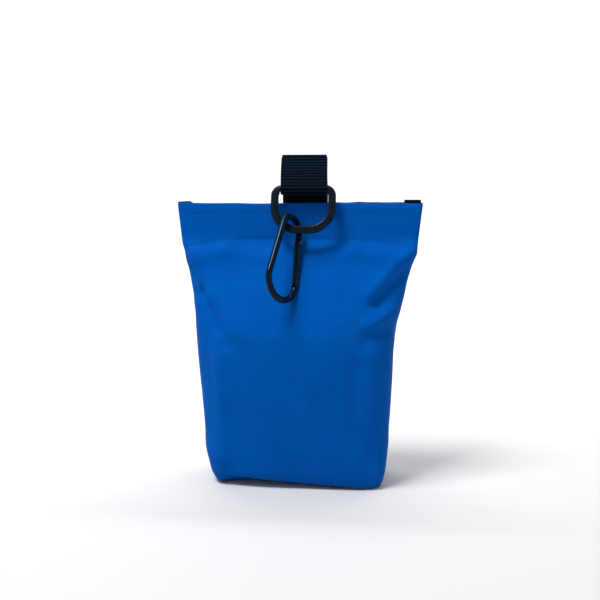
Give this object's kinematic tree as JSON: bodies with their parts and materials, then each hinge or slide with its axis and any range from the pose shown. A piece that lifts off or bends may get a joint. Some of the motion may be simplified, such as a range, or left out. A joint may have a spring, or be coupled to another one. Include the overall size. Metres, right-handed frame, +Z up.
{
  "type": "treat pouch",
  "caption": "Coated fabric treat pouch with a boxed base, a mouth closed by hook-and-loop tape, and a webbing tab that carries a D ring and a mini carabiner.",
  "frame": {"origin": "centre of the bottom face, on the surface that the pouch stands on", "axes": "+Z up, the front (the side with the ring and carabiner) faces -Y, +X to the right seen from the front"},
  "size_m": [0.135, 0.0661, 0.181],
  "materials": {
    "blue_fabric": "coated polyester twill, satin",
    "black_fabric": "woven tape, matte",
    "closing_tape": "hook and loop pile",
    "blue_thread": "lockstitch thread",
    "webbing": "ribbed webbing",
    "black_thread": "lockstitch thread",
    "ring_plastic": "moulded, satin",
    "black_anodised": "black anodised, satin gloss",
    "bright_steel": "plain"
  },
  "bodies": {
    "pouch": {"back_panel": "blue_fabric", "bottom_panel": "blue_fabric", "back_facing": "black_fabric", "loop_tape": "closing_tape", "left_seam_binding": "black_fabric", "right_seam_binding": "black_fabric", "base_seam_binding": "black_fabric", "back_hem_stitching": "blue_thread", "strap": "webbing", "strap_fold": "webbing", "strap_stitching": "black_thread"},
    "front": {"front_panel": "blue_fabric", "front_facing": "blue_fabric", "hook_tape": "closing_tape", "front_hem_stitching": "blue_thread"},
    "tab": {"strap_tab": "webbing", "tab_stitching": "black_thread"},
    "ring": {"d_ring": "ring_plastic"},
    "carabiner": {"carabiner_frame": "black_anodised", "gate_rivet": "bright_steel"},
    "gate": {"gate_tube": "black_anodised", "gate_catch_pin": "bright_steel", "gate_spring": "bright_steel"},
    "plunger": {"gate_plunger": "bright_steel"}
  },
  "joints": [
    {"name": "tab_lift", "type": "hinge", "parent": "pouch", "child": "tab", "pos_m": [0.003, 0, 0.17885], "axis": [-1, 0, 0], "range_deg": [0, 150], "deforming": ["strap_fold"]},
    {"name": "mouth_open", "type": "hinge", "parent": "pouch", "child": "front", "pos_m": [0, -0.02385, 0.0014], "axis": [1, 0, 0], "range_deg": [0, 12]},
    {"name": "ring_swing", "type": "hinge", "parent": "tab", "child": "ring", "pos_m": [0.003, -0.006, 0.1617], "axis": [-1, 0, 0], "range_deg": [0, 100]},
    {"name": "carabiner_swing", "type": "hinge", "parent": "ring", "child": "carabiner", "pos_m": [-0.0032, -0.01295, 0.14032], "axis": [-0.9667, 0.0791, 0.2435], "range_deg": [0, 60]},
    {"name": "gate_open", "type": "hinge", "parent": "carabiner", "child": "gate", "pos_m": [0.00037, -0.01011, 0.13241], "axis": [-0.826, 0.5337, -0.1815], "range_deg": [0, 25], "stiffness_Nm_per_rad": 0.01, "springref_deg": -34.38},
    {"name": "plunger_press", "type": "slide", "parent": "gate", "child": "plunger", "axis": [-0.0325, -0.3665, -0.9299], "range_m": [0, 0.0003], "deforming": ["gate_spring"]}
  ],
  "couplings": [
    {"joint": "mouth_open", "follows": "tab_lift", "ratio": 0.08},
    {"joint": "plunger_press", "follows": "gate_open", "m_per_rad": 0.000688}
  ]
}
